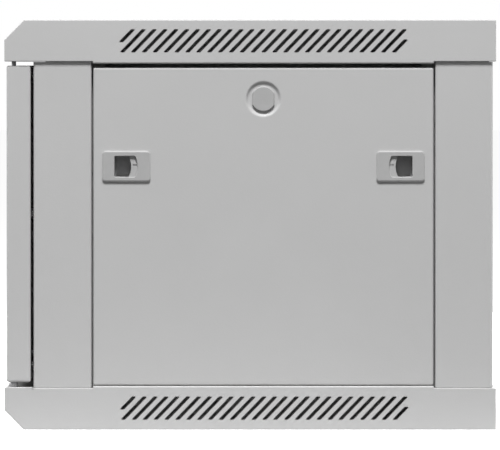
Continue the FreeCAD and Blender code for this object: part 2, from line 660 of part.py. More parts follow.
def make_back_panel():
    y0, y1 = BACK_OUTER - SHEET, BACK_OUTER
    panel = rounded_plate(-BACK_HALF, BACK_HALF, y0, y1, BACK_LOW, BACK_HIGH, 3, Vec(0, 1, 0))
    half_x, half_z = BEAD_LONG / 2, BEAD_WIDE / 2
    for z in BEADS:
        panel = panel.fuse(bead(half_x, half_z, y1 - 0.4, y1 + BEAD_HIGH, z))
        panel = panel.cut(bead(half_x - 1.2, half_z - 1.2, y0 - 0.4, y0 + BEAD_HIGH, z))
    tools = [rounded_plate(-ENTRY_X, ENTRY_X, y0 - 3, y1 + 3, ENTRY_BACK_Z - ENTRY_BACK_HALF,
                           ENTRY_BACK_Z + ENTRY_BACK_HALF, ENTRY_CORNER, Vec(0, 1, 0))]
    tools += [rod(SCREW_R, Vec(x, y0 - 2, z), Vec(x, y1 + 2, z)) for x, z in back_entry_screws()]
    tools += [rod(SCREW_R + HOLE_PLAY, Vec(x, y0 - 2, z), Vec(x, y1 + 2, z)) for x, z in back_screws()]
    tools += [rod(WALL_R, Vec(sx * WALL_X, y0 - 2, HEIGHT / 2 + sz * WALL_Z),
                  Vec(sx * WALL_X, y1 + 2, HEIGHT / 2 + sz * WALL_Z)) for sx in (-1, 1) for sz in (-1, 1)]
    return panel.cut(tools)


def bead(half_x, half_z, y0, y1, z):
    """A long shallow rib with sloping sides that stands out towards +Y."""
    slope = y1 - y0
    return Part.makeWedge(-half_x, y0, z - half_z, z - half_z + slope, -half_x + slope,
                          half_x, y1, z + half_z, z + half_z - slope, half_x - slope)


parts["back_panel"] = make_back_panel()


# Side panels: shallow pans with a sunk and blanked lock hole, two latch holes and two pegs


def make_side_panel():
    y0, y1 = OPENING_FRONT + PANEL_GAP, OPENING_REAR - PANEL_GAP
    block = box(FACE - 2 * PANEL_DEPTH, FACE, y0, y1, PANEL_LOW, PANEL_HIGH)
    block = block.makeFillet(PANEL_EDGE, block.Edges)
    hollow = box(FACE - 2 * PANEL_DEPTH - 1, FACE - PANEL_SHEET, y0 + PANEL_SHEET, y1 - PANEL_SHEET,
                 PANEL_LOW + PANEL_SHEET, PANEL_HIGH - PANEL_SHEET)
    hollow = hollow.makeFillet(PANEL_EDGE - PANEL_SHEET, hollow.Edges)
    behind = box(FACE - 3 * PANEL_DEPTH, FACE - PANEL_DEPTH, y0 - 1, y1 + 1, PANEL_LOW - 1, PANEL_HIGH + 1)
    panel = block.cut([hollow, behind])
    # the pressed ring round the lock hole
    panel = panel.fuse(dish(PANEL_SHEET, -PANEL_SHEET / 2)).cut(dish(0, 2))
    hole = double_d(BLANK_HOLE_R, BLANK_HOLE_FLATS, FACE - 6, FACE + 1)
    half = LATCH_BODY_TALL / 2 + LATCH_CUT
    latches = [latch_box(way, LATCH_IN - LATCH_CUT, LATCH_OUT + LATCH_CUT, -5, 5, -half, half)
               for way in (1, -1)]
    latches = [cut.makeFillet(LATCH_CUT_CORNER, edges_along(cut, Vec(1, 0, 0))) for cut in latches]
    return panel.cut([hole] + latches)


def dish(sheet, top):
    """The round pressed dish at the lock hole: its front for sheet 0, or its back for the sheet's thickness.

    The wall is an S of two arcs of radius r through an angle t: run = 2 r sin t and sink = 2 r (1 - cos t).
    The solid starts at `top`, measured outwards from the panel's face.
    """
    run = BLANK_RIM - BLANK_FLOOR
    turn = 2 * math.atan(BLANK_SINK / run)
    radius = run / (2 * math.sin(turn))

    def spot(x, r):
        return Vec(FACE + x, OPENING_MIDDLE + r, BLANK_Z)

    def rim(t):
        return spot((radius - sheet) * math.cos(t) - radius, BLANK_RIM - (radius - sheet) * math.sin(t))

    def foot(t):
        reach = radius + sheet
        return spot(radius - BLANK_SINK - reach * math.cos(t), BLANK_FLOOR + reach * math.sin(t))

    centre = spot(-BLANK_SINK - sheet, 0)
    edges = [Part.makeLine(spot(top, 0), spot(top, BLANK_RIM)),
             Part.makeLine(spot(top, BLANK_RIM), rim(0)),
             Part.Arc(rim(0), rim(turn / 2), rim(turn)).toShape(),
             Part.Arc(foot(turn), foot(turn / 2), foot(0)).toShape(),
             Part.makeLine(foot(0), centre),
             Part.makeLine(centre, spot(top, 0))]
    return Part.Face(Part.Wire(edges)).revolve(centre, Vec(1, 0, 0), 360)


def double_d(radius, flats, x0, x1):
    """A round bar along X with two upright flats, at the lock hole."""
    bar = rod(radius, Vec(x0, OPENING_MIDDLE, BLANK_Z), Vec(x1, OPENING_MIDDLE, BLANK_Z))
    half = flats / 2
    return bar.common(box(x0, x1, OPENING_MIDDLE - half, OPENING_MIDDLE + half, BLANK_Z - 30, BLANK_Z + 30))


def make_lock_blank():
    floor = FACE - BLANK_SINK
    head = double_d(BLANK_R, BLANK_FLATS, floor, floor + BLANK_HEAD)
    front = [e for e in head.Edges if abs(e.CenterOfMass.x - floor - BLANK_HEAD) < 1e-6]
    head = head.makeChamfer(0.7, front)
    shank_r, shank_flats = BLANK_HOLE_R - 0.15, BLANK_HOLE_FLATS - 0.3
    shank = double_d(shank_r, shank_flats, floor - 6.5, floor)
    # two snap hooks catch behind the panel's sheet
    hooks = [box(floor - 4.4, floor - PANEL_SHEET - 0.1, OPENING_MIDDLE - 3, OPENING_MIDDLE + 3,
                 BLANK_Z + shank_r - 0.8, BLANK_Z + shank_r + 1.2)]
    hooks.append(hooks[0].mirror(Vec(0, 0, BLANK_Z), Vec(0, 0, 1)))
    hollow = double_d(shank_r - BLANK_WALL, shank_flats - 2 * BLANK_WALL, floor - 7, floor - 0.6)
    return head.fuse([shank] + hooks).cut(hollow).removeSplitter()


def make_panel_pegs():
    """Two locating pegs, each on a small angle that is welded to the panel's lower fold."""
    pegs = []
    x1 = FACE - PANEL_DEPTH + 1.2
    low = PANEL_LOW + PANEL_SHEET
    for y in peg_places():
        foot = box(x1 - 0.2, x1 + 8, y - 9, y + 9, low, low + 1.5)
        plate = box(x1 - 0.2, x1 + 1.3, y - 9, y + 9, low, low + 12)
        peg = rod(PEG_R, Vec(x1 - 8, y, PEG_Z), Vec(x1, y, PEG_Z))
        tip = Part.makeCone(PEG_R - 1.2, PEG_R, 2, Vec(x1 - 10, y, PEG_Z), Vec(1, 0, 0))
        pegs.append(plate.fuse([foot, peg, tip]).removeSplitter())
    return Part.makeCompound(pegs)


parts["side_panel_right"] = make_side_panel()
parts["side_panel_left"] = left_of(parts["side_panel_right"])
parts["lock_blank_right"] = make_lock_blank()
parts["lock_blank_left"] = left_of(parts["lock_blank_right"])
parts["panel_pegs_right"] = make_panel_pegs()
parts["panel_pegs_left"] = left_of(parts["panel_pegs_right"])


# Slide latches: a housing that clips into the panel, a bolt and a thumb lip


def curved_tool(way, straight, apex, half, rise, depth0, depth1, corner):
    """A D-shaped bar along X: straight on one side, and an arc of the given rise on the other."""
    shoulder = apex + rise
    a, b = latch_point(way, straight, depth1, -half), latch_point(way, straight, depth1, half)
    c, d = latch_point(way, shoulder, depth1, half), latch_point(way, shoulder, depth1, -half)
    arc = Part.Arc(c, latch_point(way, apex, depth1, 0), d).toShape()
    wire = Part.Wire([Part.makeLine(a, b), Part.makeLine(b, c), arc, Part.makeLine(d, a)])
    bar = Part.Face(wire).extrude(Vec(depth1 - depth0, 0, 0))
    if not corner:
        return bar
    return bar.makeFillet(corner, edges_along(bar, Vec(1, 0, 0)))


def latch_outline(way, inset, depth, corner):
    """The rounded outline of a latch's border, `inset` inside its foot and at the given depth."""
    half_long, half_tall = LATCH_LONG / 2 - inset, LATCH_TALL / 2 - inset
    plate = latch_box(way, -half_long, half_long, depth, depth + 5,
                      LATCH_RISE - half_tall, LATCH_RISE + half_tall)
    plate = plate.makeFillet(corner, edges_along(plate, Vec(1, 0, 0)))
    return max(plate.Faces, key=lambda face: face.CenterOfMass.x).OuterWire


def make_latch_housing(way):
    outlines = [latch_outline(way, 0, 0, LATCH_CORNER),
                latch_outline(way, 0, LATCH_BEVEL_OUT - LATCH_PROUD, LATCH_CORNER),
                latch_outline(way, LATCH_BEVEL, -LATCH_PROUD, LATCH_FACE_CORNER)]
    flange = Part.makeLoft(outlines, True, True)
    half_body = LATCH_BODY_TALL / 2
    body = latch_box(way, LATCH_IN, LATCH_OUT, 0, LATCH_DEEP, -half_body, half_body)
    cavity = latch_box(way, LATCH_IN + LATCH_WALL, LATCH_OUT - LATCH_WALL, LIP_TOP - LATCH_PROUD,
                       LATCH_DEEP + 1, -half_body + LATCH_WALL, half_body - LATCH_WALL)
    back = latch_box(way, LATCH_IN, LATCH_OUT, LATCH_DEEP - LATCH_WALL, LATCH_DEEP, -half_body, half_body)
    window = curved_tool(way, WINDOW_STRAIGHT, WINDOW_APEX, WINDOW_HALF, WINDOW_ARC, -LATCH_PROUD - 1, 3,
                         WINDOW_CORNER)
    gate = latch_box(way, LATCH_OUT - 3, LATCH_OUT + 2, BOLT_BACK - TONGUE_THICK - LATCH_SLIP,
                     LATCH_DEEP - LATCH_WALL, -TONGUE_TALL / 2 - LATCH_SLIP, TONGUE_TALL / 2 + LATCH_SLIP)
    housing = flange.fuse(body).cut(cavity).fuse(back).cut([window, gate]).removeSplitter()
    middle = latch_point(way, 0, -LATCH_PROUD, 0)
    border = [e for e in housing.Edges if abs(e.CenterOfMass.x - middle.x) < 1e-6
              and abs(e.CenterOfMass.y - middle.y) < WINDOW_STRAIGHT + 2
              and abs(e.CenterOfMass.z - middle.z) < WINDOW_HALF + 1]
    return housing.makeChamfer(WINDOW_BEVEL, border)


def make_latch_lip(way):
    """The light grey lip that the thumb pushes: it slopes a little and is hollowed by an arc at one end."""
    half = LATCH_BODY_TALL / 2 - LATCH_WALL - LATCH_SLIP
    top = LIP_TOP - LATCH_PROUD + LATCH_SLIP
    u0, u1 = BOLT_IN, LIP_APEX + LIP_ARC + 0.4
    lip = latch_box(way, u0, u1, top, top + LIP_THICK, -half, half)
    corners = [latch_point(way, u0, top, -half), latch_point(way, u0, top + LIP_SLOPE, half),
               latch_point(way, u0, top - 1, half), latch_point(way, u0, top - 1, -half)]
    slope = prism(corners, latch_point(way, u1, 0, 0) - latch_point(way, u0, 0, 0))
    edge = curved_tool(way, 30, LIP_APEX, WINDOW_HALF, LIP_ARC, top - 1, top + LIP_THICK + 1, 0)
    r0, r1, low, high = LIP_RIB
    under = top + LIP_SLOPE * ((low + high) / 2 + half) / (2 * half)
    rib = latch_box(way, r0, r1, under - LIP_RIB_UP, under + 1, low, high)
    return lip.cut([slope, edge]).fuse(rib).removeSplitter()


def make_latch_bolt(way):
    """The dark bolt: a block with the finger pocket, and the tongue that goes behind the column's seat."""
    half = LATCH_BODY_TALL / 2 - LATCH_WALL - LATCH_SLIP
    top = LIP_TOP - LATCH_PROUD + LATCH_SLIP + LIP_THICK
    block = latch_box(way, BOLT_IN, BOLT_END, top, BOLT_BACK, -half, half)
    pocket = curved_tool(way, BOLT_END - BOLT_WALL, LIP_APEX, WINDOW_HALF - 0.2, LIP_ARC,
                         top - 1, BOLT_FLOOR, POCKET_CORNER)
    # the pocket's outer wall is cut down, so that it lies in the shade of the window's edge
    step = latch_box(way, BOLT_END - BOLT_WALL, BOLT_END + 1, top - 1, BOLT_STEP, -half - 1, half + 1)
    # the block is hollow from behind, beside the pocket
    lighten = latch_box(way, BOLT_IN + 1.5, LIP_APEX - 1.5, top + 2, BOLT_BACK + 1, -half + 1.5, half - 1.5)
    tongue = latch_box(way, BOLT_END - 1, TONGUE_TIP, BOLT_BACK - TONGUE_THICK, BOLT_BACK,
                       -TONGUE_TALL / 2, TONGUE_TALL / 2)
    return block.fuse(tongue).cut([pocket, step, lighten]).removeSplitter()


for place, way in (("front", 1), ("rear", -1)):
    for name, make in (("latch_housing", make_latch_housing), ("latch_lip", make_latch_lip),
                       ("latch_bolt", make_latch_bolt)):
        parts[f"{name}_right_{place}"] = make(way)
        parts[f"{name}_left_{place}"] = left_of(parts[f"{name}_right_{place}"])


# Door: a pan with a window, its glass, gasket and clips


def make_door_frame():
    outer = rounded_box(-DOOR_SIDE, DOOR_SIDE, DOOR_FRONT, DOOR_REAR, DOOR_LOW, DOOR_HIGH, DOOR_EDGE)
    inner = rounded_box(-DOOR_SIDE + SHEET, DOOR_SIDE - SHEET, DOOR_FRONT + SHEET, DOOR_REAR - SHEET,
                        DOOR_LOW + SHEET, DOOR_HIGH - SHEET, DOOR_EDGE - SHEET)
    rear = rounded_plate(-DOOR_SIDE + DOOR_RETURN, DOOR_SIDE - DOOR_RETURN, DOOR_REAR - 4, DOOR_REAR + 4,
                         DOOR_LOW + DOOR_RETURN, DOOR_HIGH - DOOR_RETURN, 4, Vec(0, 1, 0))
    window = rounded_plate(-WINDOW_X, WINDOW_X, DOOR_FRONT - 4, DOOR_FRONT + 4, WINDOW_LOW, WINDOW_HIGH, 7,
                           Vec(0, 1, 0))
    lock = rod(LOCK_R, Vec(LOCK_X, DOOR_FRONT - 2, LOCK_Z), Vec(LOCK_X, DOOR_FRONT + 4, LOCK_Z))
    top_hole = rod(PIN_R + RUNNING, Vec(PIN_X, PIN_Y, DOOR_HIGH - 3), Vec(PIN_X, PIN_Y, DOOR_HIGH + 3))
    low_hole = rod(PIN_R, Vec(PIN_X, PIN_Y, DOOR_LOW - 3), Vec(PIN_X, PIN_Y, DOOR_LOW + 3))
    return outer.cut(inner).cut([rear, window, lock, top_hole, low_hole])


def glass_ring(y0, y1, lap_in):
    x1, z0, z1 = WINDOW_X + GLASS_LAP, WINDOW_LOW - GLASS_LAP, WINDOW_HIGH + GLASS_LAP
    plate = rounded_plate(-x1, x1, y0, y1, z0, z1, 6, Vec(0, 1, 0))
    if lap_in is None:
        return plate
    hole = rounded_plate(-WINDOW_X - lap_in, WINDOW_X + lap_in, y0 - 1, y1 + 1, WINDOW_LOW - lap_in,
                         WINDOW_HIGH + lap_in, 7 + lap_in, Vec(0, 1, 0))
    return plate.cut(hole)


def make_glass_clips():
    """Spring clips round the glass: a foot on the door's skin, a step, and a tongue over the glass."""
    skin = DOOR_FRONT + SHEET
    over = GASKET_THICK + GLASS_THICK + SHEET
    section = [(13, SHEET), (1.9, SHEET), (1.9, over), (-7, over)]
    clips = []
    for x in CLIP_X:
        for sign, edge in ((1, WINDOW_HIGH + GLASS_LAP), (-1, WINDOW_LOW - GLASS_LAP)):
            def place(a, b, sign=sign, edge=edge, x=x):
                return Vec(x - CLIP_WIDE / 2, skin + b, edge + sign * a)
            clips.append(folded_sheet(section, SHEET, place, Vec(CLIP_WIDE, 0, 0), 0.5))
    for z in CLIP_Z:
        for sign in (1, -1):
            def place(a, b, sign=sign, z=z):
                return Vec(sign * (WINDOW_X + GLASS_LAP + a), skin + b, z - CLIP_WIDE / 2)
            clips.append(folded_sheet(section, SHEET, place, Vec(0, 0, CLIP_WIDE), 0.5))
    return Part.makeCompound(clips)


parts["door_frame"] = make_door_frame()
glass_front = DOOR_FRONT + SHEET + GASKET_THICK
parts["glass_gasket"] = glass_ring(DOOR_FRONT + SHEET, glass_front, -0.4)
parts["door_glass"] = glass_ring(glass_front, glass_front + GLASS_THICK, None)
parts["glass_clips"] = make_glass_clips()


# Door hinge: a fixed lower pin, and a sprung upper pin that draws down so that the door lifts off


def make_hinge_brackets():
    """Two plates bent in two, welded inside the door's fold, that guide the pins."""
    wall = DOOR_SIDE - SHEET
    made = []
    for z, hole in ((LUG_Z, PIN_R + RUNNING), (LOW_LUG_Z, PIN_R)):
        outline = [(PIN_X - 6, z), (wall, z), (wall, z + 12)]
        strip = folded_sheet(outline, SHEET, lambda a, b: Vec(a, PIN_Y - 4, b), Vec(0, 12, 0))
        made.append(strip.cut(rod(hole, Vec(PIN_X, PIN_Y, z - 3), Vec(PIN_X, PIN_Y, z + 4))))
    return Part.makeCompound(made)


def make_upper_pin():
    """The sprung pin: it has a collar for its spring, and its lower end is bent into a finger hook."""
    hook_z = LUG_Z - PIN_R - 0.05
    turn = PIN_R + 0.3
    upright = rod(PIN_R, Vec(PIN_X, PIN_Y, hook_z + turn), Vec(PIN_X, PIN_Y, PIN_TOP - 1))
    nose = Part.makeCone(PIN_R, PIN_R - 0.8, 1, Vec(PIN_X, PIN_Y, PIN_TOP - 1), Vec(0, 0, 1))
    hook = rod(PIN_R, Vec(PIN_X - turn, PIN_Y, hook_z), Vec(PIN_X - 20, PIN_Y, hook_z))
    ring = Part.Face(Part.Wire(Part.Circle(Vec(PIN_X, PIN_Y, hook_z + turn), Vec(0, 0, 1), PIN_R).toShape()))
    elbow = ring.revolve(Vec(PIN_X - turn, PIN_Y, hook_z + turn), Vec(0, 1, 0), 90)
    collar = rod(COLLAR_R, Vec(PIN_X, PIN_Y, COLLAR_Z), Vec(PIN_X, PIN_Y, COLLAR_Z + COLLAR_THICK))
    return upright.fuse([nose, hook, elbow, collar]).removeSplitter()


def make_pin_spring():
    low, high = LUG_Z + SHEET + SPRING_WIRE / 2 + 0.05, COLLAR_Z - SPRING_WIRE / 2 - 0.05
    helix = Part.makeHelix((high - low) / SPRING_TURNS, high - low, SPRING_R)
    helix.translate(Vec(PIN_X, PIN_Y, low))
    start = Vec(PIN_X + SPRING_R, PIN_Y, low)
    section = Part.Wire(Part.Circle(start, Vec(0, 1, 0), SPRING_WIRE / 2).toShape())
    return Part.Wire(helix.Edges).makePipeShell([section], True, True)


def make_lower_pin():
    return rod(PIN_R, Vec(PIN_X, PIN_Y, CAP - 8.5), Vec(PIN_X, PIN_Y, LOW_LUG_Z + 6))


def bush(steps, low, high):
    """A turned bush from (radius, z0, z1) steps, bored for the pin."""
    solid = rod(steps[0][0], Vec(PIN_X, PIN_Y, steps[0][1]), Vec(PIN_X, PIN_Y, steps[0][2]))
    for radius, z0, z1 in steps[1:]:
        solid = solid.fuse(rod(radius, Vec(PIN_X, PIN_Y, z0), Vec(PIN_X, PIN_Y, z1)))
    bore = rod(PIN_R + RUNNING, Vec(PIN_X, PIN_Y, low - 1), Vec(PIN_X, PIN_Y, high + 1))
    return solid.removeSplitter().cut(bore)


parts["hinge_brackets"] = make_hinge_brackets()
parts["upper_hinge_pin"] = make_upper_pin()
parts["hinge_pin_spring"] = make_pin_spring()
parts["lower_hinge_pin"] = make_lower_pin()
parts["upper_hinge_bush"] = bush([(UPPER_SLEEVE_R, CAP_TOP, CAP_TOP + SHEET),
                                  (UPPER_HEAD_R, CAP_TOP + SHEET, CAP_TOP + SHEET + UPPER_HEAD)],
                                 CAP_TOP, CAP_TOP + 5)
steps, top = [(LOWER_SLEEVE_R, CAP - LOWER_SLEEVE, CAP)], CAP
for radius, high in LOWER_STEPS:
    steps.append((radius, top, top + high))
    top += high
steps.append((LOWER_SLEEVE_R, top, DOOR_LOW - 0.05))
parts["lower_hinge_bush"] = bush(steps, CAP - LOWER_SLEEVE, DOOR_LOW)


# Door lock: a quarter-turn cam lock


def lock_rod(radius, y0, y1):
    return rod(radius, Vec(LOCK_X, y0, LOCK_Z), Vec(LOCK_X, y1, LOCK_Z))


def make_lock_housing():
    head = lock_rod(LOCK_HEAD_R, DOOR_FRONT - LOCK_HEAD, DOOR_FRONT)
    front = [e for e in head.Edges if e.Closed and e.CenterOfMass.y < DOOR_FRONT - 1]
    head = head.makeFillet(LOCK_ROUND, front)
    body = lock_rod(LOCK_R, DOOR_FRONT, CAM_NEAR - 1.5)
    return head.fuse(body).cut(lock_rod(BARREL_R + RUNNING, DOOR_FRONT - 5, CAM_NEAR + 5))


def cam_square(y0, y1):
    half = CAM_SQUARE / 2
    return box(LOCK_X - half, LOCK_X + half, y0, y1, LOCK_Z - half, LOCK_Z + half)


def make_lock_barrel():
    """The turning barrel, with a key slot in front and a square for the cam behind."""
    front, square_end = DOOR_FRONT - LOCK_HEAD + 0.2, CAM_NEAR + CAM_THICK
    barrel = lock_rod(BARREL_R, front, CAM_NEAR)
    square = cam_square(CAM_NEAR, square_end)
    slot = box(LOCK_X - 1.1, LOCK_X + 1.1, front - 1, front + 7, LOCK_Z - 4, LOCK_Z + 4)
    thread = lock_rod(CAM_SCREW_R, square_end - 8, square_end + 1)
    return barrel.fuse(square).cut([slot, thread])


def make_lock_cam():
    """A flat cam that hangs down when the door is unlocked."""
    y0, y1 = CAM_NEAR, CAM_NEAR + CAM_THICK
    half = CAM_WIDTH / 2
    bar = box(LOCK_X - half, LOCK_X + half, y0, y1, LOCK_Z - CAM_REACH + half, LOCK_Z)
    ends = [lock_rod(half + 1, y0, y1), rod(half, Vec(LOCK_X, y0, LOCK_Z - CAM_REACH + half),
                                            Vec(LOCK_X, y1, LOCK_Z - CAM_REACH + half))]
    return bar.fuse(ends).cut(cam_square(y0 - 1, y1 + 1)).removeSplitter()


def make_lock_screw():
    seat = CAM_NEAR + CAM_THICK
    head = lock_rod(CAM_SCREW_HEAD_R, seat, seat + CAM_SCREW_HEAD)
    slot = box(LOCK_X - 6, LOCK_X + 6, seat + 1.4, seat + 4, LOCK_Z - 0.6, LOCK_Z + 0.6)
    return head.fuse(lock_rod(CAM_SCREW_R, seat - 7, seat)).cut(slot)


def make_lock_nut():
    skin = DOOR_FRONT + SHEET
    nut = hexagon(LOCK_NUT_AF, Vec(LOCK_X, skin, LOCK_Z), Vec(LOCK_X, skin + LOCK_NUT, LOCK_Z))
    return nut.cut(lock_rod(LOCK_R, skin - 1, skin + 6))


parts["lock_housing"] = make_lock_housing()
parts["lock_barrel"] = make_lock_barrel()
parts["lock_cam"] = make_lock_cam()
parts["lock_cam_screw"] = make_lock_screw()
parts["lock_nut"] = make_lock_nut()


# Earthing studs on the base and the door


def make_base_earth_stud():
    here = Vec(EARTH_X, EARTH_Y, SHEET)
    return rod(BOLT_R, here, here + Vec(0, 0, EARTH_LONG)).fuse(rod(6, here, here + Vec(0, 0, 1)))


def make_base_earth_nut():
    return hex_nut(Vec(EARTH_X, EARTH_Y, SHEET + 1), Vec(0, 0, 1))


def make_door_earth_stud():
    here = Vec(DOOR_EARTH_X, DOOR_FRONT + SHEET, DOOR_EARTH_Z)
    return rod(BOLT_R, here, here + Vec(0, DOOR_EARTH_LONG, 0)).fuse(rod(5, here, here + Vec(0, 1, 0)))


parts["earth_stud"] = make_base_earth_stud()
parts["earth_nut"] = make_base_earth_nut()
parts["door_earth_stud"] = make_door_earth_stud()


# Fasteners, each kind in one node


def make_screws():
    """Screws of the back panel and of the three cover plates.

    All are driven from inside, so that nothing stands out above, below or towards the wall.
    """
    short = 2 * SHEET - 0.2
    inward = Vec(0, -1, 0)
    screws = [pan_screw(Vec(x, y, 2 * SHEET), Vec(0, 0, 1), short) for x, y in entry_screws()]
    screws += [pan_screw(Vec(x, y, HEIGHT - 2 * SHEET), Vec(0, 0, -1), short) for x, y in entry_screws()]
    screws += [pan_screw(Vec(x, BACK_OUTER - 2 * SHEET, z), inward, short) for x, z in back_entry_screws()]
    screws += [pan_screw(Vec(x, BACK_OUTER - SHEET, z), inward, short) for x, z in back_screws()]
    return screws


def make_column_bolts():
    bolts, nuts = [], []
    for x, y in column_bolt_places():
        bolts.append(hex_bolt(Vec(x, y, CAP + TAB), Vec(0, 0, 1), COLUMN_BOLT_LONG))
        nuts.append(hex_nut(Vec(x, y, CAP - SHEET), Vec(0, 0, -1)))
        bolts.append(hex_bolt(Vec(x, y, CAP_TOP - TAB), Vec(0, 0, -1), COLUMN_BOLT_LONG))
        nuts.append(hex_nut(Vec(x, y, CAP_TOP + SHEET), Vec(0, 0, 1)))
    return bolts, nuts


def make_rail_bolts():
    bolts, nuts = [], []
    for side in (-1, 1):
        for y in (RAIL_FRONT + RAIL_BOLT_IN, RAIL_REAR - RAIL_BOLT_IN):
            for upper in (False, True):
                z = support_bolt_z(upper)
                bolts.append(hex_bolt(Vec(side * (RAIL_OUTER - RAIL_SHEET), y, z), Vec(-side, 0, 0),
                                      RAIL_BOLT_LONG))
                nuts.append(hex_nut(Vec(side * (SUPPORT_X + RAIL_SHEET), y, z), Vec(side, 0, 0)))
    return bolts, nuts


parts["pan_screws"] = Part.makeCompound(make_screws())
column_bolts, column_nuts = make_column_bolts()
rail_bolts, rail_nuts = make_rail_bolts()
parts["column_bolts"] = Part.makeCompound(column_bolts)
parts["column_nuts"] = Part.makeCompound(column_nuts)
parts["rail_bolts"] = Part.makeCompound(rail_bolts)
parts["rail_nuts"] = Part.makeCompound(rail_nuts)


os.makedirs("parts", exist_ok=True)
for node, shape in parts.items():
    solids = shape.Solids
    good = shape.isValid() and all(s.Volume > 0 and s.isClosed() for s in solids)
    size = shape.BoundBox
    print(f"{node:26s} solids {len(solids):2d} {'ok' if good else 'BAD'} "
          f"x {size.XMin:8.2f} {size.XMax:8.2f} y {size.YMin:8.2f} {size.YMax:8.2f} "
          f"z {size.ZMin:7.2f} {size.ZMax:7.2f}")
    shape.exportStep(f"parts/{node}.step")
print(len(parts), "nodes")
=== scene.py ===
"""Six-unit wall cabinet for telecommunication equipment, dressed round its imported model.

Metres. +Z is up, the door faces -Y, and the photograph looks along -X at the hinge side.
"""
import bpy
import math
import numpy as np
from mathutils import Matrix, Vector


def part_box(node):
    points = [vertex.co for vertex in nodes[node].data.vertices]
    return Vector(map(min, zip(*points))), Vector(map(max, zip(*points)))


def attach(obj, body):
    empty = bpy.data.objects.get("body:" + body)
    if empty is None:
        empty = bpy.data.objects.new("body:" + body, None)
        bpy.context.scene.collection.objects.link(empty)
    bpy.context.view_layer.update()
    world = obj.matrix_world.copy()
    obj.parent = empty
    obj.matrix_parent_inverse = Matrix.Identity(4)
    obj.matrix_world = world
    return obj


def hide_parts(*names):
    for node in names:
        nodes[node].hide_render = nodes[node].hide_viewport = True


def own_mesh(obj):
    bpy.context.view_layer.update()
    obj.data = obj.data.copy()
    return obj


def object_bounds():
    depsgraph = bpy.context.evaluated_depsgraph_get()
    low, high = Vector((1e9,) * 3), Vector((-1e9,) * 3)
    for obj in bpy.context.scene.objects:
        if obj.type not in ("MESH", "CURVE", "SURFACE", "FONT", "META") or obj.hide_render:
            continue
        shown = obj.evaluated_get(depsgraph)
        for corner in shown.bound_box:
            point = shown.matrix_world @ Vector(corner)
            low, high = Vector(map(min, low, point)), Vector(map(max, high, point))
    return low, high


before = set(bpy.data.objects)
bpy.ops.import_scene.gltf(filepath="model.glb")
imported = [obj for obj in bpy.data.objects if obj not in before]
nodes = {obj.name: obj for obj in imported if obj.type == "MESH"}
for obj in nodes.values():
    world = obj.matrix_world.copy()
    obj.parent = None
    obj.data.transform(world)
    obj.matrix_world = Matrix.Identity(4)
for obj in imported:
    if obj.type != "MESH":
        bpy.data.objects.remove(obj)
cad_low, cad_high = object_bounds()


# The photograph's view
# The picture is 500 by 450 pixels, and the cabinet's 450 mm depth covers 491.7 of them on the side nearest
# the camera. The gap over the door shows daylight right through, so the lens is level with that gap.
PICTURE_WIDE = 500
PICTURE_MIDDLE = Vector((0, -0.0002, 0.1875))    # what the middle of the picture looks at
DEPTH_IN_PICTURE = 491.7
CAMERA_AWAY = 9.0
CAMERA_HIGH = 0.3354
SENSOR = 36.0
CLIP_END = 200

camera_data = bpy.data.cameras.new("camera")
camera = bpy.data.objects.new("camera", camera_data)
bpy.context.scene.collection.objects.link(camera)
camera.location = (cad_high.x + CAMERA_AWAY, PICTURE_MIDDLE.y, CAMERA_HIGH)
looking = Vector((cad_high.x, PICTURE_MIDDLE.y, PICTURE_MIDDLE.z)) - camera.location
camera.rotation_euler = looking.to_track_quat("-Z", "Y").to_euler()
camera_data.sensor_width = SENSOR
field = PICTURE_WIDE / DEPTH_IN_PICTURE * (cad_high.y - cad_low.y)
camera_data.lens = SENSOR * looking.length / field
camera_data.clip_end = CLIP_END
bpy.context.scene.camera = camera


# The room: white all round, with a soft lamp high on the camera's side and a lower one for each other side
# The shadow under the roof's edge shows that the first lamp is 61 degrees up and straight from the side.
# The floor is pale near the cabinet and darker away from it, and looks white to the camera apart from the
# cabinet's shadow.
FLOOR_HALF = 40.0
FLOOR_NEAR, FLOOR_FAR = 0.50, 0.12      # light given back beside the cabinet, and away from it
FLOOR_FADE = 0.16                       # distance from the cabinet over which it changes
FLOOR_SEEN, FLOOR_LIFT = 0.9, 0.78      # the floor's tone to the camera, and the glow added to it
ROOM_LIGHT = 0.20
LAMP_TARGET = 0.19                      # height of the point that every lamp faces
KEY_UP, KEY_AWAY, KEY_SIZE, KEY_POWER = math.radians(61), 4.0, 1.05, 253
SIDE_AWAY, SIDE_SIZE = 3.8, 1.2
FRONT_HIGH, FRONT_POWER = 1.9, 82
LOW_HIGH, REAR_POWER, LEFT_POWER = 0.95, 78, 82


def node_tree(material):
    material.use_nodes = True
    tree = material.node_tree
    tree.nodes.clear()
    return tree


def add(tree, kind, **values):
    """Adds a node. A value goes to the input of that name (From_Min for "From Min") or else to the node."""
    node = tree.nodes.new(kind)
    for name, value in values.items():
        socket = node.inputs.get(name.replace("_", " "))
        if socket is not None:
            socket.default_value = value
        else:
            setattr(node, name, value)
    return node


floor_mesh = bpy.data.meshes.new("floor")
floor_corners = [(sx * FLOOR_HALF, sy * FLOOR_HALF, 0) for sx, sy in ((-1, -1), (1, -1), (1, 1), (-1, 1))]
floor_mesh.from_pydata(floor_corners, [], [(0, 1, 2, 3)])
floor = bpy.data.objects.new("floor", floor_mesh)
bpy.context.scene.collection.objects.link(floor)

